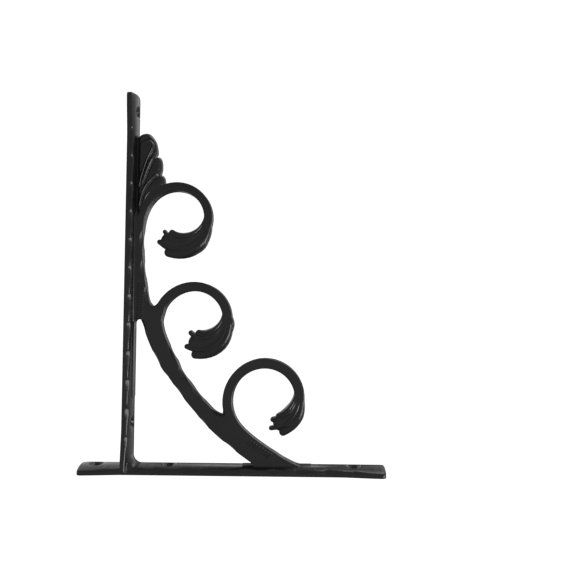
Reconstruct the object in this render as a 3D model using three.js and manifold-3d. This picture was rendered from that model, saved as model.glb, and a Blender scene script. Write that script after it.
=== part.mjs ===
// A cast iron shelf bracket with a wall plate, an arm, a curved brace, three scrolls and a leaf, all one casting.
// Millimetres. X runs out from the wall along the arm, Z runs up the wall, and Y runs across the bracket.
// The plate's back lies in the plane x = 0, the arm's flat top in the plane z = 0, and the scrollwork about y = 0.
import * as THREE from "three";
import { mergeVertices } from "three/addons/utils/BufferGeometryUtils.js";
import Module from "manifold-3d";

// The two straps: the arm under the shelf, and the plate on the wall with a stub above the arm.
const armLength = 305.6;
const plateLength = 242.4;
const stubHeight = 34.4;
const plateDrop = plateLength - stubHeight;
const strapWidth = 18.5;
const strapEdge = 4.4;
const strapCrown = 2.5;
const strapChamfer = 0.6;
const shoulderShare = 0.72;
const shoulderCrown = 0.55;

// The flattened ends of the straps, wider and thinner than the rest.
const spadeLength = 40;
const spadeWidth = 23.5;
const spadeEdge = 3.5;
const spadeCrown = 3.2;
const spadeRoundShare = 0.15;
const spadeRound = spadeRoundShare * spadeWidth;
const spadeStops = [0, 0.12, 0.35, 0.65, 1];

// Hammered dents along the inner corners of the straps.
const dentPitch = 22.4;
const dentLength = 15;
const dentDepth = 1.6;
const dentSpread = 0.4;
const stopsPerDent = 4;

// Countersunk screw holes: one in each strap near the corner, and the others set in from the straps' ends.
const armHoleOut = 39;
const armTipInset = 14.4;
const plateHoleBelow = 36.2;
const plateFootInset = 24.2;
const stubInset = 12.8;
const armHoles = [armHoleOut, armLength - armTipInset];
const plateHoles = [stubHeight - stubInset, -plateHoleBelow, plateFootInset - plateDrop];
const boltDiameter = 6;
const headDiameter = 12;
const headDepth = 3;

// Rounded corners between the arm and the plate, under the arm and above it.
const cornerRadius = 7;
const stubCornerRadius = 2.5;

// The brace: its lower edge leaves the plate and meets the arm at these places and slopes.
const braceDrop = 112.5;
const braceReach = 147;
const footSlope = 58.2;
const headSlope = 16;
const braceHandle = 0.37;
const braceWidth = 11.4;
const webThickness = 8.5;
const webChamfer = 1.1;

// Each scroll springs from its root, runs along a gentle stem, and tightens into a coil that ends in a carved fist.
// Lengths run along the centreline; slope is the heading at the root above the horizontal, in degrees.
const upperScroll = {
  slope: 25.2,
  stemRadius: 203,
  stemLength: 82,
  easeLength: 56,
  coilLength: 84,
  coilStartRadius: 27,
  coilEndRadius: 21.6,
  rootWidth: 7,
  bandWidth: 7,
  fistLength: 32,
  fistScale: 1.04,
  coreReach: 17,
  lobeReaches: [17.1, 23.2, 19.6, 13.1],
  lobeSides: [8.8, 5, -2.8, -7.4],
};
const middleScroll = {
  slope: 29.6,
  stemRadius: 115,
  stemLength: 19,
  easeLength: 6,
  coilLength: 126,
  coilStartRadius: 33.8,
  coilEndRadius: 20.8,
  rootWidth: 7,
  bandWidth: 7.6,
  fistLength: 38,
  fistScale: 0.92,
  coreReach: 14,
  lobeReaches: [9.9, 20.8, 16.4, 11.2],
  lobeSides: [10.8, 8.2, -2.3, -6.4],
};
const lowerScroll = {
  slope: 64.7,
  stemRadius: 179,
  stemLength: 34.5,
  easeLength: 35.5,
  coilLength: 121,
  coilStartRadius: 31.8,
  coilEndRadius: 24,
  rootWidth: 9,
  bandWidth: 8,
  fistLength: 34,
  fistScale: 0.82,
  coreReach: 10,
  lobeReaches: [4.8, 12, 13.5, 8.2],
  lobeSides: [7.4, 6.5, 0.2, -5.2],
};

// Where the scrolls spring: two from the brace, at a share of its length from the plate, and one from the plate.
const upperRootShare = 0.709;
const middleRootShare = 0.628;
const lowerRootDrop = 136.3;

// How far the webs between neighbouring bands reach before the bands part, along each scroll's centreline.
const neckWeb = [25, 112];
const forkWebUpper = 38;
const forkWebMiddle = 45;
const footWebInset = 2.5;
const footWebShare = 0.345;
const footWebLower = 67;

// The fists: each is a core under a bundle of lobes, which fan out from the band and end past the coil.
// In each scroll the reaches are past the coil's end, and the sides are across it, towards the inside of the coil.
const lobeWidths = [6.2, 6.2, 7.4, 10];
const lobeRootSides = [1.6, 0.6, -0.6, -1.4];
const coreWidth = 19;
const coreSide = 0.6;
const lobeRootThickness = 8;
const lobeThickness = 12;
const lobeTipThickness = 6;
const coreThickness = 8.5;
const bandTaper = 16;
const coilDrift = 0.9;
const bandTip = 0.4;

// The leaf in the angle between the arm and the upper scroll: places are out from the wall and below the arm's top.
const leafRoot = 206;
const leafLobes = [
  { out: 273, below: 12.5, slope: 8, width: 20 },
  { out: 255, below: 24.2, slope: -12, width: 11 },
  { out: 239, below: 28, slope: -28, width: 10 },
];
const leafHandle = 0.4;
const leafRootThickness = 8;
const leafThickness = 10.5;
const leafTipThickness = 6.5;

// A lobe is narrow at its root, fattest at its belly, and its tip rounds off over the last part of its length.
const lobeRootShare = 0.4;
const bellyShare = 0.6;
const tipRoundStart = 0.78;
const tipBlunt = 0.05;
const lobeStops = [0, 0.13, 0.26, 0.39, 0.52, 0.65, 0.78, 0.9, 0.97, 1];

// Steps along and around the parts, and how far past its coil a scroll's centreline is laid out.
const braceSteps = 18;
const webSteps = 8;
const filletSteps = 5;
const lobeSpots = 8;
const lobeSides = 8;
const holeSides = 20;
const bandStep = 5;
const walkStep = 0.5;
const fistReach = 30;
const shortestEdge = 0.02;
const strapThickness = strapEdge + strapCrown;
const degree = Math.PI / 180;

const wasm = await Module();
wasm.setup();

// A closed geometry as a solid that can be joined and cut.
function solidFrom(geometry) {
  const bare = geometry.index ? geometry.toNonIndexed() : geometry;
  bare.deleteAttribute("normal");
  bare.deleteAttribute("uv");
  const merged = mergeVertices(bare, 1e-4);
  const vertProperties = merged.attributes.position.array;
  const triVerts = new Uint32Array(merged.index.array);
  return new wasm.Manifold(new wasm.Mesh({ numProp: 3, vertProperties, triVerts }));
}

// A closed skin through rings of equal count; each ring runs counterclockwise seen from the far end.
function loft(rings) {
  const count = rings[0].length;
  const last = (rings.length - 1) * count;
  const index = [];
  for (let start = 0; start < last; start += count) {
    for (let k = 0; k < count; k++) {
      const here = start + k;
      const next = start + ((k + 1) % count);
      index.push(here, next, here + count, next, next + count, here + count);
    }
  }
  for (let k = 1; k + 1 < count; k++) {
    index.push(0, k + 1, k, last, last + k, last + k + 1);
  }
  const geometry = new THREE.BufferGeometry().setFromPoints(rings.flat());
  geometry.setIndex(index);
  return solidFrom(geometry);
}

// A ring across a path in the XZ plane: section points are [towards the right of the heading, along Y].
function ringAt(x, z, heading, section) {
  return section.map(
    ([side, across]) =>
      new THREE.Vector3(x + side * Math.sin(heading), across, z - side * Math.cos(heading)),
  );
}

// A value that eases from 0 to 1 as u runs from 0 to 1.
function ease(u) {
  return THREE.MathUtils.smoothstep(u, 0, 1);
}

// How far across a strap has spread into its flattened end, from 0 in the middle part to 1 at the end.
function spadeShare(fromEnd) {
  return ease(1 - fromEnd / spadeLength);
}

// The depth of the hammered dent at this distance along the middle part of a strap.
function dentAt(along) {
  const fromCentre = (((along % dentPitch) + dentPitch) % dentPitch) - dentPitch / 2;
  const lens = 1 - (fromCentre / (dentLength / 2)) ** 2;
  return dentDepth * Math.max(0, lens);
}

// The section of a strap: flat outer face at side 0, crowned inner face, dented corners, rounded spade ends.
function strapSection(along, length) {
  const fromEnd = Math.min(along, length - along);
  const spade = spadeShare(fromEnd);
  const inset = Math.max(0, spadeRound - fromEnd);
  const rounding = spadeRound - Math.sqrt(spadeRound ** 2 - inset ** 2);
  const half = THREE.MathUtils.lerp(strapWidth, spadeWidth, spade) / 2 - rounding;
  const edge = THREE.MathUtils.lerp(strapEdge, spadeEdge, spade);
  const crown = THREE.MathUtils.lerp(strapCrown, spadeCrown, spade);
  const dent = dentAt(along - spadeLength) * (1 - spade);
  const corner = half - dent;
  const shoulder = half * shoulderShare;
  const flank = [
    [0, half - strapChamfer],
    [strapChamfer, half],
    [edge - dent - strapChamfer, half],
    [edge, corner - strapChamfer],
    [edge + crown * shoulderCrown - dent * dentSpread, shoulder - dent * dentSpread],
  ];
  const lower = flank.map(([side, across]) => [side, -across]);
  return [...lower, [edge + crown, 0], ...flank.reverse()];
}

// A strap that starts at a point and runs along a heading.
function strap(x, z, heading, length) {
  const roundStops = spadeStops.map((share) => share * spadeRound);
  const stops = [...roundStops];
  const middle = length - 2 * spadeRound;
  const count = Math.round((middle * stopsPerDent) / dentPitch);
  for (let k = 1; k < count; k++) stops.push(spadeRound + (middle * k) / count);
  stops.push(...roundStops.map((stop) => length - stop).reverse());
  return loft(
    stops.map((along) =>
      ringAt(
        x + along * Math.cos(heading),
        z + along * Math.sin(heading),
        heading,
        strapSection(along, length),
      ),
    ),
  );
}

// A ribbon of even thickness between two edges, each an array of points in the XZ plane, with chamfered corners.
function ribbon(leftEdge, rightEdge, thicknessAt) {
  return loft(
    leftEdge.map((left, k) => {
      const right = rightEdge[k];
      const width = left.distanceTo(right);
      const middle = left.clone().add(right).multiplyScalar(0.5);
      const heading = Math.atan2(right.x - left.x, left.y - right.y);
      const half = width / 2;
      const deep = thicknessAt(k / (leftEdge.length - 1)) / 2;
      const cut = Math.min(webChamfer, width / 4);
      const section = [
        [-half + cut, -deep],
        [half - cut, -deep],
        [half, -deep + cut],
        [half, deep - cut],
        [half - cut, deep],
        [-half + cut, deep],
        [-half, deep - cut],
        [-half, -deep + cut],
      ];
      return ringAt(middle.x, middle.y, heading, section);
    }),
  );
}

function webThicknessAt() {
  return webThickness;
}

// The brace's lower edge from inside the plate to inside the arm.
function braceCurve() {
  const foot = new THREE.Vector2(strapThickness / 2, -braceDrop);
  const head = new THREE.Vector2(braceReach, -strapThickness / 2);
  const handle = foot.distanceTo(head) * braceHandle;
  const footPull = new THREE.Vector2(Math.cos(footSlope * degree), Math.sin(footSlope * degree));
  const headPull = new THREE.Vector2(Math.cos(headSlope * degree), Math.sin(headSlope * degree));
  return new THREE.CubicBezierCurve(
    foot,
    foot.clone().addScaledVector(footPull, handle),
    head.clone().addScaledVector(headPull, -handle),
    head,
  );
}

// Points to the right of the brace's lower edge, at an offset across the brace.
function braceLine(curve, offset, shares) {
  return shares.map((share) => {
    const tangent = curve.getTangent(share);
    const point = curve.getPoint(share);
    return new THREE.Vector2(point.x + offset * tangent.y, point.y - offset * tangent.x);
  });
}

function evenShares(count, from, to) {
  return Array.from({ length: count + 1 }, (_, k) => THREE.MathUtils.lerp(from, to, k / count));
}

function scrollLength(scroll) {
  return scroll.stemLength + scroll.easeLength + scroll.coilLength;
}

// How sharply a scroll turns at a distance from its root, in radians per millimetre.
function bendAt(scroll, along) {
  const beyondStem = along - scroll.stemLength;
  if (beyondStem < scroll.easeLength) {
    const share = ease(beyondStem / scroll.easeLength);
    return THREE.MathUtils.lerp(1 / scroll.stemRadius, 1 / scroll.coilStartRadius, share);
  }
  const coiled = (beyondStem - scroll.easeLength) / scroll.coilLength;
  return 1 / THREE.MathUtils.lerp(scroll.coilStartRadius, scroll.coilEndRadius, coiled);
}

// The centreline of a scroll as points with a heading, walked in small steps that turn clockwise.
function scrollLine(scroll, root) {
  const whole = scrollLength(scroll) + fistReach;
  const steps = Math.round(whole / walkStep);
  const step = whole / steps;
  const line = [{ x: root.x, z: root.y, heading: scroll.slope * degree, along: 0 }];
  for (let k = 0; k < steps; k++) {
    const here = line[k];
    const turn = bendAt(scroll, here.along + step / 2) * step;
    const heading = here.heading - turn / 2;
    line.push({
      x: here.x + step * Math.cos(heading),
      z: here.z + step * Math.sin(heading),
      heading: here.heading - turn,
      along: here.along + step,
    });
  }
  return line;
}

// A point beside a scroll's centreline; side is towards the inside of the coil.
function beside(line, along, side) {
  const at = line.find((point) => point.along >= along) ?? line.at(-1);
  return new THREE.Vector2(at.x + side * Math.sin(at.heading), at.z - side * Math.cos(at.heading));
}

// The band of a scroll, which drifts a little outwards along the coil and tapers off inside the fist.
function scrollBand(scroll, line) {
  const end = scrollLength(scroll);
  const stops = evenShares(Math.round(end / bandStep), 0, end);
  const taperAt = (along) => THREE.MathUtils.lerp(1, bandTip, ease(1 - (end - along) / bandTaper));
  const halfAt = (along) => {
    const share = Math.min(1, along / scroll.stemLength);
    return (THREE.MathUtils.lerp(scroll.rootWidth, scroll.bandWidth, share) / 2) * taperAt(along);
  };
  const driftAt = (along) => (coilDrift * along) / end;
  return ribbon(
    stops.map((along) => beside(line, along, -driftAt(along) - halfAt(along))),
    stops.map((along) => beside(line, along, -driftAt(along) + halfAt(along))),
    (share) => webThickness * taperAt(share * end),
  );
}

// Points on a scroll's centreline at even spacing between two distances from its root.
function stretch(line, from, to) {
  return evenShares(webSteps, from, to).map((along) => beside(line, along, 0));
}

// A lobe of a leaf: rounded rings along a curve in the XZ plane, thick at the belly and round at the tip.
function lobe(curve, width, rootThickness, bellyThickness, tipThickness) {
  return loft(
    lobeStops.map((share) => {
      const point = curve.getPoint(share);
      const tangent = curve.getTangent(share);
      const spread = THREE.MathUtils.lerp(lobeRootShare, 1, ease(share / tipRoundStart));
      const beyond = Math.max(0, (share - tipRoundStart) / (1 - tipRoundStart));
      const round = Math.sqrt(Math.max(tipBlunt, 1 - beyond ** 2));
      const rising = THREE.MathUtils.lerp(rootThickness, bellyThickness, ease(share / bellyShare));
      const falling = THREE.MathUtils.lerp(
        bellyThickness,
        tipThickness,
        (share - bellyShare) / (1 - bellyShare),
      );
      const thickness = share < bellyShare ? rising : falling;
      const section = evenShares(lobeSides - 1, 0, 1 - 1 / lobeSides).map((part) => {
        const angle = 2 * Math.PI * part;
        const side = (width / 2) * spread * round * Math.cos(angle);
        return [side, (thickness / 2) * round * Math.sin(angle)];
      });
      return ringAt(point.x, point.y, Math.atan2(tangent.y, tangent.x), section);
    }),
  );
}

// One lobe of a fist, which drifts from its root to its tip across the scroll's centreline.
function fistLobe(scroll, line, reach, rootSide, tipSide, width, bellyThickness) {
  const end = scrollLength(scroll);
  const from = end - scroll.fistLength;
  const spots = evenShares(lobeSpots, 0, 1).map((share) => {
    const side = THREE.MathUtils.lerp(rootSide, tipSide, ease(share));
    return beside(line, THREE.MathUtils.lerp(from, end + reach, share), side);
  });
  const curve = new THREE.SplineCurve(spots);
  const rootThickness = Math.min(lobeRootThickness, bellyThickness);
  return lobe(curve, width * scroll.fistScale, rootThickness, bellyThickness, lobeTipThickness);
}

function fist(scroll, line) {
  const core = fistLobe(scroll, line, scroll.coreReach, 0, coreSide, coreWidth, coreThickness);
  const lobes = scroll.lobeReaches.map((reach, k) =>
    fistLobe(scroll, line, reach, lobeRootSides[k], scroll.lobeSides[k], lobeWidths[k], lobeThickness),
  );
  return [core, ...lobes];
}

// The leaf's lobes fan out from one root under the arm.
function leaf() {
  const root = new THREE.Vector2(leafRoot, -strapThickness);
  return leafLobes.map(({ out, below, slope, width }) => {
    const tip = new THREE.Vector2(out, -below);
    const handle = root.distanceTo(tip) * leafHandle;
    const tipPull = new THREE.Vector2(Math.cos(slope * degree), Math.sin(slope * degree));
    const curve = new THREE.CubicBezierCurve(
      root,
      new THREE.Vector2(root.x + handle, root.y),
      tip.clone().addScaledVector(tipPull, -handle),
      tip,
    );
    return lobe(curve, width, leafRootThickness, leafThickness, leafTipThickness);
  });
}

// A concave fillet in the corner between the plate and the arm; side is -1 under the arm and 1 above it.
function cornerFillet(radius, side, armFace) {
  const arcShares = evenShares(filletSteps, 0, 1);
  const half = strapWidth / 2 - strapChamfer;
  return loft(
    evenShares(filletSteps, -1, 1).map((across) => {
      const drop = strapCrown * across ** 2;
      const x = strapThickness - drop;
      const z = armFace - side * (side < 0 ? drop : 0);
      const buried = [
        [x - strapEdge, z + side * radius],
        [x - strapEdge, z - side * strapEdge],
        [x + radius, z - side * strapEdge],
      ];
      const arc = arcShares.map((share) => {
        const angle = (share * Math.PI) / 2;
        return [x + radius * (1 - Math.sin(angle)), z + side * radius * (1 - Math.cos(angle))];
      });
      const outline = [...buried, ...arc];
      if (side > 0) outline.reverse();
      return outline.map(([out, up]) => new THREE.Vector3(out, across * half, up));
    }),
  );
}

// A screw hole with a countersink on the strap's inner face, its axis along Y before it is turned.
function screwHole() {
  const past = 2 * strapThickness;
  const profile = [
    [0, -past],
    [boltDiameter / 2, -past],
    [boltDiameter / 2, strapThickness - headDepth],
    [headDiameter / 2, strapThickness],
    [headDiameter / 2, past],
    [0, past],
  ];
  return new THREE.LatheGeometry(
    profile.map(([x, y]) => new THREE.Vector2(x, y)),
    holeSides,
  );
}

// The space behind the plate, which keeps its back flat where a scroll is rooted in it.
function wallSide() {
  const height = 2 * (plateDrop + stubHeight);
  const slab = new THREE.BoxGeometry(spadeWidth, 2 * spadeWidth, height);
  slab.translate(-spadeWidth / 2, 0, 0);
  return solidFrom(slab);
}

function buildCasting() {
  const curve = braceCurve();
  const braceShares = evenShares(braceSteps, 0, 1);
  const brace = ribbon(
    braceLine(curve, 0, braceShares),
    braceLine(curve, braceWidth, braceShares),
    webThicknessAt,
  );
  const [upperRoot, middleRoot] = braceLine(curve, braceWidth / 2, [upperRootShare, middleRootShare]);
  const lowerRoot = new THREE.Vector2(strapThickness / 2, -lowerRootDrop);
  const upperLine = scrollLine(upperScroll, upperRoot);
  const middleLine = scrollLine(middleScroll, middleRoot);
  const lowerLine = scrollLine(lowerScroll, lowerRoot);

  const neckEdge = stretch(upperLine, ...neckWeb);
  const armEdge = neckEdge.map((point) => new THREE.Vector2(point.x, -strapThickness / 2));
  const neck = ribbon(armEdge, neckEdge, webThicknessAt);
  const fork = ribbon(
    stretch(upperLine, 0, forkWebUpper),
    stretch(middleLine, 0, forkWebMiddle),
    webThicknessAt,
  );
  const foot = ribbon(
    braceLine(curve, footWebInset, evenShares(webSteps, 0, footWebShare)),
    stretch(lowerLine, 0, footWebLower),
    webThicknessAt,
  );

  const solids = [
    strap(0, 0, 0, armLength),
    strap(0, -plateDrop, Math.PI / 2, plateDrop + stubHeight),
    cornerFillet(cornerRadius, -1, -strapThickness),
    cornerFillet(stubCornerRadius, 1, 0),
    brace,
    neck,
    fork,
    foot,
    scrollBand(upperScroll, upperLine),
    scrollBand(middleScroll, middleLine),
    scrollBand(lowerScroll, lowerLine),
    ...fist(upperScroll, upperLine),
    ...fist(middleScroll, middleLine),
    ...fist(lowerScroll, lowerLine),
    ...leaf(),
  ];
  let casting = solids.reduce((whole, piece) => whole.add(piece));
  casting = casting.subtract(wallSide());
  for (const out of armHoles) {
    const hole = screwHole().rotateX(-Math.PI / 2).translate(out, 0, 0);
    casting = casting.subtract(solidFrom(hole));
  }
  for (const up of plateHoles) {
    const hole = screwHole().rotateZ(-Math.PI / 2).translate(0, 0, up);
    casting = casting.subtract(solidFrom(hole));
  }
  return casting.simplify(shortestEdge);
}

function geometryFrom(solid) {
  const mesh = solid.getMesh();
  const geometry = new THREE.BufferGeometry();
  geometry.setAttribute("position", new THREE.BufferAttribute(mesh.vertProperties, 3));
  geometry.setIndex(new THREE.BufferAttribute(mesh.triVerts, 1));
  return geometry;
}

const blackPaint = new THREE.MeshStandardMaterial({ color: 0x1a1a1c, roughness: 0.42, metalness: 0.1 });
const casting = new THREE.Mesh(geometryFrom(buildCasting()), blackPaint);
casting.name = "bracket_casting";

const bracket = new THREE.Group();
bracket.add(casting);

export default bracket;
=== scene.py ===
# A black cast iron shelf bracket: one casting with hammered edges, three scrolls that end in
# carved fists, and a leaf. Sizes are in millimetres until the mesh is made. X runs out from
# the wall, Z up the wall, Y across the bracket.
import math

import bpy
import numpy as np
import openvdb
from mathutils import Matrix, Vector


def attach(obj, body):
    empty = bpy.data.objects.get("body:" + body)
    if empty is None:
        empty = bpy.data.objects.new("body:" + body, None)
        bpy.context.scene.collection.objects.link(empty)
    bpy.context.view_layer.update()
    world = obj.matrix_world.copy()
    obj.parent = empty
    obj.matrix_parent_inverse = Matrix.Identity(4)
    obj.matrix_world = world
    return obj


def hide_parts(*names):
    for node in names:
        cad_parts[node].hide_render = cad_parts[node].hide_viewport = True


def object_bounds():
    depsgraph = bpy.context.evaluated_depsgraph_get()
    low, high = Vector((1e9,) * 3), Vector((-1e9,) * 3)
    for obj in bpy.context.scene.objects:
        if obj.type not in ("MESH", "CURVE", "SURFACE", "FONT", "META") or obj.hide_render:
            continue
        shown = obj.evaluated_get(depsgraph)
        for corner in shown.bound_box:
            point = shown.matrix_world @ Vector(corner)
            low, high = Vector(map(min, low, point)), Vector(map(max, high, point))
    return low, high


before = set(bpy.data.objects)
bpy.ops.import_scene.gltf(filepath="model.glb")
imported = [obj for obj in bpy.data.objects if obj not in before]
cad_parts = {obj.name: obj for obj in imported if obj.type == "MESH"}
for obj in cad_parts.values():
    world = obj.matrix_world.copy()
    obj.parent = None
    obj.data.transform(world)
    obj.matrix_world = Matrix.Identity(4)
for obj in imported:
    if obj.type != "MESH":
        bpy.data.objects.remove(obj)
cad_low, cad_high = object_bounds()

# The grid's spacing, its margins round the casting, and how many cells the field reaches from
# the surface.
VOXEL = 0.4
MARGIN = 2.4
SIDE_MARGIN = 1.2
SIDE_SLACK = 0.01
FIELD_CELLS = 3
FAR_OFF = 1e3
MM = 1000.0
DIAGONAL = math.sqrt(0.5)
BODY = "root"
NODE = "bracket_casting"
PAINT_SLOT = "black_paint"
MOST_TRIANGLES = 188000

# The straps, as in the solid, and their widened ends.
ARM_LENGTH = 305.6
PLATE_DROP = 208.0
STUB_HEIGHT = 34.4
STRAP_WIDTH = 18.5
STRAP_EDGE = 4.4
STRAP_CROWN = 2.5
STRAP_THICKNESS = STRAP_EDGE + STRAP_CROWN
SPADE_LENGTH = 40.0
SPADE_WIDTH = 23.5
SPADE_EDGE = 3.5
SPADE_CROWN = 3.2
SPADE_ROUND = 3.5
OUTER_ROUND = 0.7
INNER_ROUND = 0.7
END_ROUND = 0.9
CROWN_HALF = 9
LEAST_HALF = 4

# Hammered dents: along the straps' inner corners, and along the edges of the brace.
ARM_DENT_FIRST = 22.4
PLATE_DENT_FIRST = -190.0
DENT_PITCH = 22.36
DENT_HALF_LENGTH = 8.4
DENT_DEPTH = 2.5
DENT_STEEPNESS = 3
DENT_ROUND = 0.45
EDGE_DENT_HALF_LENGTH = 7.5
EDGE_DENT_DEPTH = 1.6

# Countersunk screw holes.
ARM_HOLES = (39.0, 291.2)
PLATE_HOLES = (21.6, -36.2, -183.8)
BOLT_RADIUS = 3.0
HEAD_RADIUS = 6.0
HEAD_DEPTH = 3.0

# The brace and the flat webs.
BRACE_DROP = 112.5
BRACE_REACH = 147.0
FOOT_SLOPE = math.radians(58.2)
HEAD_SLOPE = math.radians(16.0)
BRACE_HANDLE = 0.37
BRACE_WIDTH = 11.4
WEB_HALF = 4.25
WEB_ROUND = 1.0
WEB_CHAMFER = 0.35
CHAMFER_ROUND = 0.25

# The scrolls, each from its root along a stem into a coil; radii, lengths and widths of the band.
SCROLLS = {
    "upper": dict(
        slope=25.2, stem_radius=203, stem=82, ease=56,
        coil=84, start=27, end=21.6, root=7.0, band=7.0,
    ),
    "middle": dict(
        slope=29.6, stem_radius=115, stem=19, ease=6,
        coil=126, start=33.8, end=20.8, root=7.0, band=7.6,
    ),
    "lower": dict(
        slope=64.7, stem_radius=179, stem=34.5, ease=35.5,
        coil=121, start=31.8, end=24, root=9.0, band=8.0,
    ),
}
UPPER_ROOT_SHARE = 0.709
MIDDLE_ROOT_SHARE = 0.628
LOWER_ROOT_DROP = 136.3
NECK_WEB = (25.0, 112.0)
FORK_WEB = (37.0, 44.0)
FOOT_WEB_SHARE = 0.345
FOOT_WEB_LOWER = 67.0
SCROLL_STEP = 0.5
BAND_SAMPLES = 70
BRACE_SAMPLES = 41
WEB_SAMPLES = 30
SIDE_SAMPLES = 16
CROTCH_ROUND = 7.0
ARCH_ROUND = 3.4
ARCH_START = 60.0
FOOT_ROUND = 1.6
FOOT_SPAN = (-150.0, -95.0)
FOOT_OUT = 12.0
FOOT_WEB_INSET = 2.5
CORNER_ROUND = 7.0
STUB_CORNER_ROUND = 2.5
STUB_CLEARANCE = 3
JOIN_ROUND = 1.0
RELIEF_ROUND = 0.4
BAND_SHIFT = -0.9
BAND_TAPER = 14
RUN_ON = 36

# The carved fists. Places are along a scroll's centreline past its coil, and across it towards
# its inside. Each lobe's tip is (along, across, half width), from the inside of the coil outwards.
# Thicknesses are half of the whole, at a lobe's root, belly and tip.
FISTS = {
    "upper": dict(
        length=33,
        tips=((14.6, 8.7, 2.5), (21.6, 5.0, 1.9), (18.1, -3.7, 2.1), (9.2, -7.0, 3.9)),
        spur=(-9.4, -9.0),
        scale=1.0,
    ),
    "middle": dict(
        length=34,
        tips=((7.3, 10.9, 2.6), (18.8, 8.3, 2.2), (14.6, -2.6, 2.2), (7.6, -6.6, 3.6)),
        spur=(-21.5, -5.9),
        scale=1.0,
    ),
    "lower": dict(
        length=28,
        tips=((2.6, 7.9, 2.2), (9.9, 6.7, 2.2), (12.8, 0.2, 1.9), (5.0, -5.2, 3.2)),
        spur=(-6.6, -7.1),
        scale=0.84,
    ),
}
FIST_REACH = 8
LOBE_SAMPLES = 15
LOBE_ROOTS = (1.9, 0.7, -0.5, -1.7)
LOBE_ROOT_HALF = 1.5
LOBE_BELLIES = (3.1, 2.7, 3.0, 4.6)
LOBE_THICK = (4.0, 5.6, 3.0)
LOBE_BELLY_AT = 0.62
LOBE_THICKEST_AT = 0.6
LOBE_SPREAD = 1.45
LOBE_JOIN = 0.45
SPUR_LENGTH = 13
SPUR_ROOT = -1.6
SPUR_TIP_HALF = 1.0
SPUR_BELLY = 1.8
SPUR_THICK = (3.6, 4.4, 2.2)
CORE_SHIFT = 0.6
CORE_TIP_HALF = 7.4
CORE_BELLY = 7.6
CORE_THICK = (3.8, 4.7, 4.0)


def clamp01(t):
    return np.clip(t, 0.0, 1.0)


def ease(t):
    t = clamp01(t)
    return t * t * (3 - 2 * t)


def lerp(a, b, t):
    return a + (b - a) * t


def join(a, b, radius):
    """The union of two distance fields, with a fillet."""
    fillet = np.sqrt(np.maximum(radius - a, 0) ** 2 + np.maximum(radius - b, 0) ** 2)
    return np.maximum(radius, np.minimum(a, b)) - fillet


def meet(a, b, radius):
    """What two distance fields have in common, with a rounded edge."""
    return -join(-a, -b, radius)


def brace_points(count=161):
    """The brace's lower edge and its headings."""
    foot = np.array([STRAP_THICKNESS / 2, -BRACE_DROP])
    head = np.array([BRACE_REACH, -STRAP_THICKNESS / 2])
    handle = np.hypot(*(head - foot)) * BRACE_HANDLE
    a = foot + handle * np.array([math.cos(FOOT_SLOPE), math.sin(FOOT_SLOPE)])
    b = head - handle * np.array([math.cos(HEAD_SLOPE), math.sin(HEAD_SLOPE)])
    t = np.linspace(0, 1, count)[:, None]
    points = (1 - t) ** 3 * foot + 3 * (1 - t) ** 2 * t * a + 3 * (1 - t) * t**2 * b + t**3 * head
    pull = (1 - t) ** 2 * (a - foot) + 2 * (1 - t) * t * (b - a) + t**2 * (head - b)
    return points, pull / np.linalg.norm(pull, axis=1)[:, None]


def beside_brace(offset, shares=None):
    """The line at an offset from the brace's lower edge, or its points at some shares of it."""
    points, pull = brace_points()
    shifted = points + offset * np.stack([pull[:, 1], -pull[:, 0]], 1)
    if shares is None:
        return shifted
    t = np.linspace(0, 1, len(points))
    return np.stack([np.interp(shares, t, shifted[:, k]) for k in (0, 1)], -1)


class Scroll:
    """A scroll's centreline, in small steps from its root and on past the coil, under the fist."""

    def __init__(self, name, root):
        s = SCROLLS[name]
        self.shape = s
        self.end = s["stem"] + s["ease"] + s["coil"]
        step = SCROLL_STEP
        count = int((self.end + RUN_ON) / step)
        self.along = np.arange(count + 1) * step
        middle = self.along[:-1] + step / 2 - s["stem"]
        eased = lerp(1 / s["stem_radius"], 1 / s["start"], ease(middle / s["ease"]))
        coiled = 1 / lerp(s["start"], s["end"], (middle - s["ease"]) / s["coil"])
        turn = np.where(middle < s["ease"], eased, coiled) * step
        slope = math.radians(s["slope"])
        self.heading = slope - np.concatenate([[0], np.cumsum(turn)])
        half_way = self.heading[:-1] - turn / 2
        x = root[0] + np.concatenate([[0], np.cumsum(step * np.cos(half_way))])
        z = root[1] + np.concatenate([[0], np.cumsum(step * np.sin(half_way))])
        self.line = np.stack([x, z], 1)

    def at(self, along, across=0.0):
        """Points along the centreline, and across it towards the inside of the coil."""
        x = np.interp(along, self.along, self.line[:, 0])
        z = np.interp(along, self.along, self.line[:, 1])
        heading = np.interp(along, self.along, self.heading)
        return np.stack([x + across * np.sin(heading), z - across * np.cos(heading)], -1)

    def band(self):
        """The band's centreline and half widths; it tapers off inside the fist."""
        s = self.shape
        along = np.linspace(0, self.end, BAND_SAMPLES)
        half = lerp(s["root"], s["band"], clamp01(along / s["stem"])) / 2
        half = half * lerp(1, 0.5, ease(1 - (self.end - along) / BAND_TAPER))
        return self.at(along, BAND_SHIFT * (along / self.end)), half


def near_line(x, z, points, halves):
    """Distance to a line of changing half width."""
    best = np.full(x.shape, FAR_OFF, np.float32)
    for k in range(len(points) - 1):
        (ax, az), (bx, bz) = points[k], points[k + 1]
        dx, dz = bx - ax, bz - az
        t = clamp01(((x - ax) * dx + (z - az) * dz) / (dx * dx + dz * dz + 1e-12))
        far = np.hypot(x - ax - t * dx, z - az - t * dz) - lerp(halves[k], halves[k + 1], t)
        np.minimum(best, far, out=best)
    return best


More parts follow.
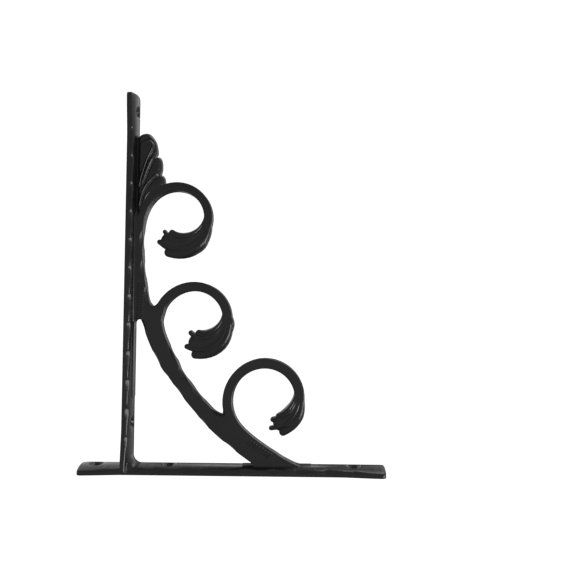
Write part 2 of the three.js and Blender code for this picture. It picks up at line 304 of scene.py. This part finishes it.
def near_polygon(x, z, corners):
    """Signed distance to a closed polygon, negative inside."""
    far = np.full(x.shape, FAR_OFF**2, np.float32)
    inside = np.zeros(x.shape, bool)
    for k in range(len(corners)):
        (ax, az), (bx, bz) = corners[k - 1], corners[k]
        dx, dz = bx - ax, bz - az
        t = clamp01(((x - ax) * dx + (z - az) * dz) / (dx * dx + dz * dz + 1e-12))
        far = np.minimum(far, (x - ax - t * dx) ** 2 + (z - az - t * dz) ** 2)
        crosses = (az > z) != (bz > z)
        if abs(dz) > 1e-9:
            inside ^= crosses & (x < ax + dx * (z - az) / dz)
    return np.where(inside, -1, 1) * np.sqrt(far)


def curve_points(a, b, c, d, each):
    """Points from b up to c on the curve that passes through all four."""
    middle = 2 * a - 5 * b + 4 * c - d
    last = 3 * b - a - 3 * c + d
    shares = np.arange(each) / each
    return [0.5 * (2 * b + (c - a) * t + middle * t**2 + last * t**3) for t in shares]


def smooth_loop(points, each=6):
    """A closed curve through the points."""
    p = np.asarray(points, float)
    out = []
    for k in range(len(p)):
        out += curve_points(p[k - 1], p[k], p[(k + 1) % len(p)], p[(k + 2) % len(p)], each)
    return np.array(out)


def smooth_line(points, each=8):
    """An open curve through the points."""
    p = np.asarray(points, float)
    p = np.vstack([2 * p[0] - p[1], p, 2 * p[-1] - p[-2]])
    out = []
    for k in range(1, len(p) - 2):
        out += curve_points(*p[k - 1 : k + 3], each)
    out.append(p[-2])
    return np.array(out)


# The grid on which the casting's distance field is worked out.
gx = np.arange(-MARGIN, ARM_LENGTH + MARGIN, VOXEL, dtype=np.float32)
half_grid = SPADE_WIDTH / 2 + SIDE_MARGIN
gy = np.arange(-half_grid, half_grid + SIDE_SLACK, VOXEL, dtype=np.float32)
gz = np.arange(-PLATE_DROP - MARGIN, STUB_HEIGHT + MARGIN, VOXEL, dtype=np.float32)
X = gx[:, None, None]
Y = gy[None, :, None]
Z = gz[None, None, :]
FX, FZ = np.meshgrid(gx, gz, indexing="ij")


def strap_field(along, depth, length, dent_first):
    """A strap: flat outer face, crowned inner face, hammered inner corners, and widened ends."""
    from_end = np.minimum(along, length - along)
    spade = ease(1 - from_end / SPADE_LENGTH)
    inset = np.maximum(0, SPADE_ROUND - from_end)
    rounding = SPADE_ROUND - np.sqrt(np.maximum(0, SPADE_ROUND**2 - inset**2))
    half = lerp(STRAP_WIDTH, SPADE_WIDTH, spade) / 2 - rounding
    edge = lerp(STRAP_EDGE, SPADE_EDGE, spade)
    crown = lerp(STRAP_CROWN, SPADE_CROWN, spade)
    across = np.abs(Y) / np.maximum(half, LEAST_HALF)
    lean = np.sqrt(1 + (2 * crown / CROWN_HALF * across) ** 2)
    inner = (depth - edge - crown * (1 - across**2)) / lean
    side = np.abs(Y) - half
    body = meet(inner, side, INNER_ROUND)
    phase = (along - dent_first + DENT_PITCH / 2) % DENT_PITCH - DENT_PITCH / 2
    share = clamp01((phase + DENT_HALF_LENGTH) / (2 * DENT_HALF_LENGTH))
    dent = DENT_DEPTH * share * np.sqrt(np.maximum(0, 1 - share**DENT_STEEPNESS)) * (1 - spade)
    corner = (inner + side) * DIAGONAL
    body = meet(body, corner + dent, DENT_ROUND)
    body = meet(body, -depth, OUTER_ROUND)
    ends = np.abs(along - length / 2) - length / 2
    return meet(body, ends, END_ROUND)


def corner_field(radius, side, arm_face):
    """A cove in the corner between the plate and the arm, following the straps' crowns."""
    across = clamp01(np.abs(Y) / (STRAP_WIDTH / 2))
    drop = STRAP_CROWN * across**2
    x = X - (STRAP_THICKNESS - drop)
    z = side * (Z - arm_face) + (drop if side < 0 else 0)
    cove = radius - np.hypot(np.maximum(radius - x, 0), np.maximum(radius - z, 0))
    inside = np.maximum(np.maximum(x, z) - radius, np.maximum(-x - STRAP_EDGE, -z - STRAP_EDGE))
    return np.maximum(np.maximum(cove, inside), np.abs(Y) - STRAP_WIDTH / 2 + INNER_ROUND)


def web_field():
    """The flat openwork from the side: brace, webs and bands, as a distance in the middle plane."""
    shares = np.linspace(0, 1, BRACE_SAMPLES)
    halves = np.full(BRACE_SAMPLES, BRACE_WIDTH / 2)
    brace = near_line(FX, FZ, beside_brace(BRACE_WIDTH / 2, shares), halves)
    bands = {k: near_line(FX, FZ, *s.band()) for k, s in scrolls.items()}

    neck_edge = scrolls["upper"].at(np.linspace(*NECK_WEB, WEB_SAMPLES))
    arm_line = np.stack([neck_edge[::-1, 0], np.full(WEB_SAMPLES, -STRAP_THICKNESS / 2)], 1)
    neck = near_polygon(FX, FZ, np.vstack([neck_edge, arm_line]))
    upper_side = scrolls["upper"].at(np.linspace(0, FORK_WEB[0], SIDE_SAMPLES))
    middle_side = scrolls["middle"].at(np.linspace(0, FORK_WEB[1], SIDE_SAMPLES))
    fork = near_polygon(FX, FZ, np.vstack([upper_side, middle_side[::-1]]))
    foot_side = beside_brace(FOOT_WEB_INSET, np.linspace(0, FOOT_WEB_SHARE, SIDE_SAMPLES))
    lower_side = scrolls["lower"].at(np.linspace(0, FOOT_WEB_LOWER, WEB_SAMPLES))
    foot = near_polygon(FX, FZ, np.vstack([foot_side, lower_side[::-1]]))

    upper = np.minimum(bands["upper"], neck)
    top = np.minimum(np.minimum(brace, fork), upper)
    top = join(top, bands["middle"], CROTCH_ROUND)
    arm = np.maximum(np.abs(FZ + STRAP_THICKNESS / 2) - STRAP_THICKNESS / 2, ARCH_START - FX)
    arch = join(np.minimum(brace, neck), arm, ARCH_ROUND)
    top = np.where(FX < BRACE_REACH, np.minimum(top, arch), top)
    plate = np.abs(FX - STRAP_THICKNESS / 2) - STRAP_THICKNESS / 2
    low = np.minimum(foot, bands["lower"])
    whole = join(top, low, CROTCH_ROUND)
    near_foot = (FZ > FOOT_SPAN[0]) & (FZ < FOOT_SPAN[1]) & (FX < FOOT_OUT)
    return np.where(near_foot, join(whole, plate, FOOT_ROUND), whole)


def lobe_local(scroll, root_along, root_across, tip, belly_half):
    """A lobe's centreline and half widths, spreading from its root to its tip."""
    along = np.linspace(root_along, tip[0], LOBE_SAMPLES)
    share = np.linspace(0, 1, LOBE_SAMPLES)
    across = lerp(root_across, tip[1], 1 - (1 - share) ** LOBE_SPREAD)
    half = np.where(
        share < LOBE_BELLY_AT,
        lerp(LOBE_ROOT_HALF, belly_half, ease(share / LOBE_BELLY_AT)),
        lerp(belly_half, tip[2], ease((share - LOBE_BELLY_AT) / (1 - LOBE_BELLY_AT))),
    )
    return scroll.at(scroll.end + along, across), half


def window(points, reach):
    """The slice of the grid round some points."""
    low, high = points.min(0) - reach, points.max(0) + reach
    a, b = np.searchsorted(gx, (low[0], high[0]))
    c, d = np.searchsorted(gz, (low[1], high[1]))
    return slice(a, b), slice(c, d)


def lobe_field(x, z, y, points, halves, thick):
    """A lobe: an elliptic section swept along a line, round at its tip."""
    best = np.full(x.shape, FAR_OFF, np.float32)
    width = np.ones(x.shape, np.float32)
    deep = np.ones(x.shape, np.float32)
    for k in range(len(points) - 1):
        (ax, az), (bx, bz) = points[k], points[k + 1]
        dx, dz = bx - ax, bz - az
        t = clamp01(((x - ax) * dx + (z - az) * dz) / (dx * dx + dz * dz + 1e-12))
        far = np.hypot(x - ax - t * dx, z - az - t * dz)
        w = lerp(halves[k], halves[k + 1], t)
        nearer = far / w < best
        best = np.where(nearer, far / w, best)
        width = np.where(nearer, w, width)
        deep = np.where(nearer, lerp(thick[k], thick[k + 1], t), deep)
    s = (best * width)[:, None, :]
    w, h = width[:, None, :], deep[:, None, :]
    k0 = np.sqrt((s / w) ** 2 + (y / h) ** 2)
    k1 = np.sqrt((s / w**2) ** 2 + (y / h**2) ** 2)
    return k0 * (k0 - 1) / np.maximum(k1, 1e-4)


def fist_field(name):
    """A fist: four lobes and a spur over a core, with grooves between them."""
    scroll, shape = scrolls[name], FISTS[name]
    start = -shape["length"]
    scale = shape["scale"]
    lobes = []
    for tip, root, belly in zip(shape["tips"], LOBE_ROOTS, LOBE_BELLIES):
        lobes.append((lobe_local(scroll, start, root, tip, belly * scale), LOBE_THICK))
    spur = (*shape["spur"], SPUR_TIP_HALF)
    spur_start = spur[0] - SPUR_LENGTH
    lobes.append((lobe_local(scroll, spur_start, SPUR_ROOT, spur, SPUR_BELLY), SPUR_THICK))
    first, last = shape["tips"][0], shape["tips"][3]
    middle = ((first[0] + last[0]) / 2, (first[1] + last[1]) / 2 + CORE_SHIFT)
    core_tip = (*middle, CORE_TIP_HALF * scale)
    lobes.append((lobe_local(scroll, start, 0.0, core_tip, CORE_BELLY * scale), CORE_THICK))
    every = np.vstack([points for (points, _), _ in lobes])
    xs, zs = window(every, FIST_REACH)
    x, z = FX[xs, zs], FZ[xs, zs]
    whole = None
    for (points, halves), (root_deep, belly_deep, tip_deep) in lobes:
        share = np.linspace(0, 1, len(points))
        thick = np.where(
            share < LOBE_THICKEST_AT,
            lerp(root_deep, belly_deep, ease(share / LOBE_THICKEST_AT)),
            lerp(belly_deep, tip_deep, (share - LOBE_THICKEST_AT) / (1 - LOBE_THICKEST_AT)),
        )
        one = lobe_field(x, z, Y, points, halves, thick)
        whole = one if whole is None else join(whole, one, LOBE_JOIN)
    return (xs, zs), whole


# The leaf's edge, its raised ribs and its grooves, out from the wall and up from the arm's top.
LEAF_EDGE = (
    (206.0, -4.0), (272.0, -4.0), (272.2, -7.7), (273.3, -10.9), (273.9, -13.8), (273.1, -16.9),
    (270.6, -19.6), (266.6, -21.9), (261.7, -23.2), (257.9, -23.4), (254.4, -22.2), (254.0, -25.2),
    (252.0, -26.7), (248.4, -27.4), (243.4, -27.3), (240.2, -26.4), (238.4, -28.7), (235.7, -29.8),
    (231.0, -29.9), (228.6, -28.0), (222.0, -19.5), (214.0, -14.5),
)
LEAF_RIBS = (
    (
        (267.4, -15.0), (266.6, -18.2), (261.8, -19.9),
        (251.1, -15.2), (238.8, -11.4), (230.0, -9.2),
    ),
    ((257.9, -23.0), (248.7, -17.9), (240.0, -14.4), (232.0, -11.8)),
    ((241.6, -26.2), (234.7, -18.6), (226.5, -13.0), (214.2, -9.6)),
)
LEAF_GROOVES = (
    (
        (264.3, -8.6), (267.6, -13.2), (268.0, -18.0), (262.2, -21.4),
        (250.6, -16.8), (238.4, -12.9), (230.0, -10.5),
    ),
    ((255.4, -23.4), (247.6, -19.3), (239.0, -15.9), (231.0, -13.2)),
    ((239.6, -27.4), (233.2, -20.0), (225.6, -14.2), (213.0, -10.4)),
    ((229.5, -27.0), (224.5, -18.8), (217.9, -14.4), (212.2, -11.9), (208.0, -8.8)),
)
LEAF_REACH = 6
LEAF_HALF = 5.0
LEAF_BEVEL = 3.2
LEAF_BEVEL_REACH = 3.4
RIB_HEIGHT = 0.9
RIB_SPREAD = 0.75
GROOVE_DEPTH = 1.0
GROOVE_SPREAD = 0.6
COVE_DEPTH = 2.6
COVE_REACH = 2.0
COVE_START = 203
COVE_FADE = 10
LEAF_START = 205
LEAF_FADE = 30
LEAF_ROOT_SHARE = 0.9
LEAF_SLOPE = 0.85
LEAF_EDGE_ROUND = 0.9


def leaf_cove(x, z):
    """How much the leaf and the web beside it sink towards the arm."""
    below = np.maximum(0, -STRAP_THICKNESS - z)
    return COVE_DEPTH * np.exp(-((below / COVE_REACH) ** 2)) * ease((x - COVE_START) / COVE_FADE)


def leaf_field():
    """The fan of leaf lobes, with raised ribs, grooves, and edges that thin out."""
    edge = smooth_loop(LEAF_EDGE)
    xs, zs = window(edge, LEAF_REACH)
    x, z = FX[xs, zs], FZ[xs, zs]
    flat = near_polygon(x, z, edge)
    height = LEAF_HALF - LEAF_BEVEL * (1 - clamp01(-flat / LEAF_BEVEL_REACH)) ** 2
    root = lerp(LEAF_ROOT_SHARE, 1, ease((x - LEAF_START) / LEAF_FADE))
    height = height * root - leaf_cove(x, z)
    for rib in LEAF_RIBS:
        line = smooth_line(rib)
        far = near_line(x, z, line, np.zeros(len(line)))
        height = height + RIB_HEIGHT * np.exp(-((far / RIB_SPREAD) ** 2))
    for groove in LEAF_GROOVES:
        line = smooth_line(groove)
        far = near_line(x, z, line, np.zeros(len(line)))
        height = height - GROOVE_DEPTH * np.exp(-((far / GROOVE_SPREAD) ** 2))
    side = (np.abs(Y) - height[:, None, :]) * LEAF_SLOPE
    return (xs, zs), meet(flat[:, None, :], side, LEAF_EDGE_ROUND)


# Dents on the edges of the brace, on its scroll side and on its wall side, as shares of its
# length, and dents on the upper scroll's stem, as lengths along it.
BRACE_DENTS_OUTER = (0.30, 0.43, 0.55, 0.665)
BRACE_DENTS_INNER = (0.17, 0.33, 0.50, 0.68, 0.84)
STEM_DENTS = (44.0, 66.0, 90.0)
STEM_HALF = 3.5


def edge_dents(flat):
    """How much deeper the edges of the openwork are cut where the hammer struck them."""
    cut = np.zeros(flat.shape, np.float32)
    spots = list(beside_brace(BRACE_WIDTH, np.array(BRACE_DENTS_OUTER)))
    spots += list(beside_brace(0.0, np.array(BRACE_DENTS_INNER)))
    spots += [scrolls["upper"].at(a, STEM_HALF) for a in STEM_DENTS]
    for x, z in spots:
        far = np.hypot(FX - x, FZ - z) / EDGE_DENT_HALF_LENGTH
        np.maximum(cut, EDGE_DENT_DEPTH * (1 - far**2), out=cut)
    return cut


def hole_field(across_x, across_y, depth):
    """A bore with a countersink on the strap's inner face; depth runs in from the outer face."""
    radius = np.hypot(across_x, across_y)
    cone = (radius - BOLT_RADIUS - (depth - (STRAP_THICKNESS - HEAD_DEPTH))) * DIAGONAL
    bore = np.minimum(radius - BOLT_RADIUS, np.maximum(cone, radius - HEAD_RADIUS))
    return np.maximum(bore, depth - 2 * STRAP_THICKNESS)


# Rows of raised strokes: from, to, how many, how tall, and how far they lean.
INSCRIPTIONS = (
    ((151.0, -11.9), (121.5, -11.7), 14, 4.6, 0.12),
    ((26.0, -99.0), (14.5, -117.0), 8, 4.6, 0.35),
)
STROKE_SHARES = (0.42, 0.5, 0.42)
STROKE_RADIUS = 0.5
STROKE_FILLET = 0.2
STROKE_REACH = 2


def add_strokes(field, start, end, count, height, tilt):
    """A row of shallow raised strokes on the near face, where the real casting is marked."""
    start, end = np.array(start), np.array(end)
    way = (end - start) / np.hypot(*(end - start))
    up = np.array([-way[1], way[0]])
    for k in range(count):
        middle = start + (end - start) * (k + 0.5) / count
        size = height * STROKE_SHARES[k % len(STROKE_SHARES)]
        a = middle - size * (up + tilt * way)
        b = middle + size * (up + tilt * way)
        line = np.array([a, b])
        xs, zs = window(line, STROKE_REACH)
        far = near_line(FX[xs, zs], FZ[xs, zs], line, np.zeros(2))[:, None, :]
        stroke = np.hypot(far, Y + WEB_HALF) - STROKE_RADIUS
        part = field[xs, :, zs]
        field[xs, :, zs] = join(part, stroke, STROKE_FILLET)


scrolls = {
    "upper": Scroll("upper", beside_brace(BRACE_WIDTH / 2, UPPER_ROOT_SHARE)),
    "middle": Scroll("middle", beside_brace(BRACE_WIDTH / 2, MIDDLE_ROOT_SHARE)),
    "lower": Scroll("lower", np.array([STRAP_THICKNESS / 2, -LOWER_ROOT_DROP])),
}


def casting_field():
    """The whole casting: all parts joined, the backs cut flat, and the holes cut through."""
    arm = strap_field(X, -Z, ARM_LENGTH, ARM_DENT_FIRST)
    plate = strap_field(Z + PLATE_DROP, X, PLATE_DROP + STUB_HEIGHT, PLATE_DENT_FIRST + PLATE_DROP)
    straps = np.minimum(arm, plate)
    straps = np.minimum(straps, corner_field(CORNER_ROUND, -1, -STRAP_THICKNESS))
    straps = np.minimum(straps, corner_field(STUB_CORNER_ROUND, 1, 0.0))

    flat = web_field()
    dents = edge_dents(flat)
    side = np.abs(Y) - (WEB_HALF - leaf_cove(FX, FZ))[:, None, :]
    web = meet(flat[:, None, :], side, WEB_ROUND)
    corner = (flat[:, None, :] + side) * DIAGONAL
    web = meet(web, corner + WEB_CHAMFER + dents[:, None, :], CHAMFER_ROUND)
    for part, relief in (leaf_field(), *(fist_field(k) for k in FISTS)):
        xs, zs = part
        web[xs, :, zs] = join(web[xs, :, zs], relief, RELIEF_ROUND)
    for row in INSCRIPTIONS:
        add_strokes(web, *row)

    whole = join(straps, web, JOIN_ROUND)
    above_arm = np.where(X > STRAP_THICKNESS + STUB_CLEARANCE, Z, -FAR_OFF)
    whole = np.maximum(whole, np.maximum(-X, above_arm))
    for out in ARM_HOLES:
        whole = np.maximum(whole, -hole_field(X - out, Y, -Z))
    for up in PLATE_HOLES:
        whole = np.maximum(whole, -hole_field(Z - up, Y, X))
    return whole


# The field's surface as a mesh in metres.
field = casting_field().astype(np.float32)
field = np.clip(field, -FIELD_CELLS * VOXEL, FIELD_CELLS * VOXEL)
grid_start = np.array([gx[0], gy[0], gz[0]])
grid = openvdb.FloatGrid(FIELD_CELLS * VOXEL)
grid.copyFromArray(field)
points, triangles, quads = grid.convertToPolygons(isovalue=0.0, adaptivity=0.0)
points = (points * VOXEL + grid_start) / MM

faces = quads.tolist() + triangles.tolist()
mesh = bpy.data.meshes.new("bracket")
mesh.from_pydata(points.tolist(), [], faces)
mesh.update()
casting = bpy.data.objects.new("bracket", mesh)
bpy.context.scene.collection.objects.link(casting)

bpy.context.view_layer.objects.active = casting
casting.select_set(True)
thin = casting.modifiers.new("thin", "DECIMATE")
thin.ratio = min(1.0, MOST_TRIANGLES / (2 * len(quads) + len(triangles)))
bpy.ops.object.modifier_apply(modifier="thin")
mesh = casting.data


def field_normals(at):
    """The field's slope at points given in metres, by looking up its gradient on the grid."""
    spot = at * MM
    cell = (spot - grid_start) / VOXEL
    top = np.array(field.shape) - 3
    base = np.clip(np.floor(cell).astype(int), 1, top)
    t = cell - base
    slope = np.zeros(spot.shape)
    for i in (0, 1):
        for j in (0, 1):
            for k in (0, 1):
                a, b, c = base[:, 0] + i, base[:, 1] + j, base[:, 2] + k
                w = (
                    (t[:, 0] if i else 1 - t[:, 0])
                    * (t[:, 1] if j else 1 - t[:, 1])
                    * (t[:, 2] if k else 1 - t[:, 2])
                )
                slope[:, 0] += w * (field[a + 1, b, c] - field[a - 1, b, c])
                slope[:, 1] += w * (field[a, b + 1, c] - field[a, b - 1, c])
                slope[:, 2] += w * (field[a, b, c + 1] - field[a, b, c - 1])
    return slope / np.maximum(np.linalg.norm(slope, axis=1)[:, None], 1e-9)


spots = np.empty(len(mesh.vertices) * 3, np.float32)
mesh.vertices.foreach_get("co", spots)
spots = np.clip(spots.reshape(-1, 3), np.array(cad_low), np.array(cad_high))
mesh.vertices.foreach_set("co", spots.ravel())
mesh.update()
mesh.shade_smooth()
mesh.normals_split_custom_set_from_vertices(field_normals(spots).tolist())


def paint():
    """Semi-gloss black paint on a lightly hammered casting."""
    material = bpy.data.materials.new(PAINT_SLOT)
    material.use_nodes = True
    nodes, links = material.node_tree.nodes, material.node_tree.links
    shader = nodes["Principled BSDF"]
    shader.inputs["Coat Weight"].default_value = 0.35
    shader.inputs["Coat Roughness"].default_value = 0.12
    place = nodes.new("ShaderNodeTexCoord")

    def noise(scale, detail):
        node = nodes.new("ShaderNodeTexNoise")
        node.inputs["Scale"].default_value = scale
        node.inputs["Detail"].default_value = detail
        links.new(place.outputs["Object"], node.inputs["Vector"])
        return node

    def bump(height, strength, distance):
        node = nodes.new("ShaderNodeBump")
        node.inputs["Strength"].default_value = strength
        node.inputs["Distance"].default_value = distance
        links.new(height.outputs["Fac"], node.inputs["Height"])
        return node

    patches = noise(55, 3)
    tone = nodes.new("ShaderNodeValToRGB")
    tone.color_ramp.elements[0].position = 0.3
    tone.color_ramp.elements[0].color = (0.0085, 0.0085, 0.0095, 1)
    tone.color_ramp.elements[1].position = 0.72
    tone.color_ramp.elements[1].color = (0.0135, 0.0132, 0.0142, 1)
    links.new(patches.outputs["Fac"], tone.inputs["Fac"])
    links.new(tone.outputs["Color"], shader.inputs["Base Color"])

    gloss = noise(210, 4)
    spread = nodes.new("ShaderNodeMapRange")
    spread.inputs["From Min"].default_value = 0.3
    spread.inputs["From Max"].default_value = 0.7
    spread.inputs["To Min"].default_value = 0.24
    spread.inputs["To Max"].default_value = 0.32
    links.new(gloss.outputs["Fac"], spread.inputs["Value"])
    links.new(spread.outputs["Result"], shader.inputs["Roughness"])

    swell = noise(95, 2)
    grain = noise(900, 3)
    broad = bump(swell, 0.35, 0.0012)
    fine = bump(grain, 0.12, 0.0003)
    links.new(broad.outputs["Normal"], fine.inputs["Normal"])
    links.new(fine.outputs["Normal"], shader.inputs["Normal"])
    return material


casting.data.materials.append(paint())
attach(casting, BODY)
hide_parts(NODE)

# The camera stands where the photograph was taken from, with the arm upright in its view.
CAMERA_AT = Vector((0.13009, -0.40789, -0.13704))
CAMERA_FOCUS = 505.0
CAMERA_FOOT = (296.04, 309.89)
CAMERA_ROLL = 0.0057
IMAGE_SIZE = 576.0


def camera_matrix():
    """Columns are the camera's right, up and back in the row frame."""
    middle = IMAGE_SIZE / 2
    aim = Vector((CAMERA_FOOT[0] - middle, CAMERA_FOOT[1] - middle, CAMERA_FOCUS)).normalized()
    turn = Vector((0, 0, 1)).rotation_difference(aim).to_matrix()
    s, c = math.sin(CAMERA_ROLL), math.cos(CAMERA_ROLL)
    right, down, ahead = Vector((s, 0, -c)), Vector((-c, 0, -s)), Vector((0, 1, 0))
    rows = [right * turn[k][0] + down * turn[k][1] + ahead * turn[k][2] for k in range(3)]
    return Matrix((rows[0], -rows[1], -rows[2])).transposed()


camera_data = bpy.data.cameras.new("camera")
camera_data.sensor_width = 36.0
camera_data.lens = CAMERA_FOCUS / IMAGE_SIZE * camera_data.sensor_width
camera = bpy.data.objects.new("camera", camera_data)
camera.matrix_world = Matrix.Translation(CAMERA_AT) @ camera_matrix().to_4x4()
bpy.context.scene.collection.objects.link(camera)
bpy.context.scene.camera = camera


def soft_light(name, place, aim, size, power):
    """A rectangular studio light that faces its aim."""
    data = bpy.data.lights.new(name, "AREA")
    data.shape = "RECTANGLE"
    data.size, data.size_y = size
    data.energy = power
    lamp = bpy.data.objects.new(name, data)
    lamp.location = place
    lamp.rotation_mode = "QUATERNION"
    lamp.rotation_quaternion = (Vector(aim) - Vector(place)).to_track_quat("-Z", "Y")
    bpy.context.scene.collection.objects.link(lamp)


# Lights, each with its place from the casting's middle, its size in metres and its power in watts.
middle = (cad_low + cad_high) / 2
soft_light("key", middle + Vector((-0.33, -0.6, -0.9)), middle, (0.45, 0.9), 5)
soft_light("back", middle + Vector((1.0, 0.3, -0.4)), middle, (0.5, 0.5), 1.2)


# How bright the surroundings are near the camera and beyond the bracket, as stops along each axis.
# The three factors are multiplied, each halved to stay within a ramp's range.
NEAR_Y = ((-1.0, 0.4), (-0.1, 0.34), (0.12, 0.0), (1.0, 0.0))
NEAR_X = ((-1.0, 0.65), (0.0, 0.92), (0.25, 0.68), (0.6, 0.7), (1.0, 1.0))
NEAR_Z = ((-1.0, 0.65), (-0.3, 0.95), (1.0, 1.0))
FAR_Y = ((-1.0, 0.0), (-0.1, 0.0), (0.12, 0.9), (0.88, 1.2), (0.95, 0.5), (1.0, 0.2))
FAR_X = ((-1.0, 0.3), (-0.26, 0.3), (-0.1, 0.9), (1.0, 0.85))
FAR_Z = ((-1.0, 1.0), (-0.26, 1.0), (-0.12, 0.3), (0.2, 0.3), (0.34, 1.0), (1.0, 1.0))
RAMP_SHARE = 0.5
WHITE_LEVEL = 1.1


def room():
    """A studio: pale beyond the bracket, dimmer on the camera's side, white where it is seen."""
    world = bpy.data.worlds.new("room")
    world.use_nodes = True
    bpy.context.scene.world = world
    nodes, links = world.node_tree.nodes, world.node_tree.links
    light = nodes["Background"]
    place = nodes.new("ShaderNodeTexCoord")
    split = nodes.new("ShaderNodeSeparateXYZ")
    links.new(place.outputs["Generated"], split.inputs["Vector"])

    def grey(value):
        return (value * RAMP_SHARE,) * 3 + (1,)

    def along(axis, stops):
        shift = nodes.new("ShaderNodeMapRange")
        shift.inputs["From Min"].default_value = -1.0
        shift.inputs["From Max"].default_value = 1.0
        links.new(split.outputs[axis], shift.inputs["Value"])
        ramp = nodes.new("ShaderNodeValToRGB")
        elements = ramp.color_ramp.elements
        for element, (at, value) in zip(elements, (stops[0], stops[-1])):
            element.position = (at + 1) / 2
            element.color = grey(value)
        for at, value in stops[1:-1]:
            elements.new((at + 1) / 2).color = grey(value)
        links.new(shift.outputs["Result"], ramp.inputs["Fac"])
        return ramp.outputs["Color"]

    def times(a, b):
        node = nodes.new("ShaderNodeVectorMath")
        node.operation = "MULTIPLY"
        links.new(a, node.inputs[0])
        links.new(b, node.inputs[1])
        return node.outputs[0]

    near = times(times(along("Y", NEAR_Y), along("X", NEAR_X)), along("Z", NEAR_Z))
    far = times(times(along("Y", FAR_Y), along("X", FAR_X)), along("Z", FAR_Z))
    both = nodes.new("ShaderNodeVectorMath")
    both.operation = "ADD"
    links.new(near, both.inputs[0])
    links.new(far, both.inputs[1])
    links.new(both.outputs[0], light.inputs["Color"])
    light.inputs["Strength"].default_value = RAMP_SHARE**-3
    seen = nodes.new("ShaderNodeLightPath")
    white = nodes.new("ShaderNodeBackground")
    white.inputs["Color"].default_value = (1, 1, 1, 1)
    white.inputs["Strength"].default_value = WHITE_LEVEL
    mix = nodes.new("ShaderNodeMixShader")
    links.new(seen.outputs["Is Camera Ray"], mix.inputs["Fac"])
    links.new(light.outputs["Background"], mix.inputs[1])
    links.new(white.outputs["Background"], mix.inputs[2])
    links.new(mix.outputs["Shader"], nodes["World Output"].inputs["Surface"])


room()

# A pale floor, well below the bracket.
FLOOR_RADIUS = 1.5
FLOOR_PLACE = (0.15, 0, -1.6)
bpy.ops.mesh.primitive_circle_add(
    vertices=96, radius=FLOOR_RADIUS, fill_type="NGON", location=FLOOR_PLACE
)
floor = bpy.context.object
floor.name = "floor"
pale = bpy.data.materials.new("pale_floor")
pale.use_nodes = True
pale.node_tree.nodes["Principled BSDF"].inputs["Base Color"].default_value = (0.9, 0.9, 0.9, 1)
pale.node_tree.nodes["Principled BSDF"].inputs["Roughness"].default_value = 0.9
floor.data.materials.append(pale)

bpy.context.scene.view_settings.view_transform = "Standard"
bpy.context.scene.view_settings.look = "None"
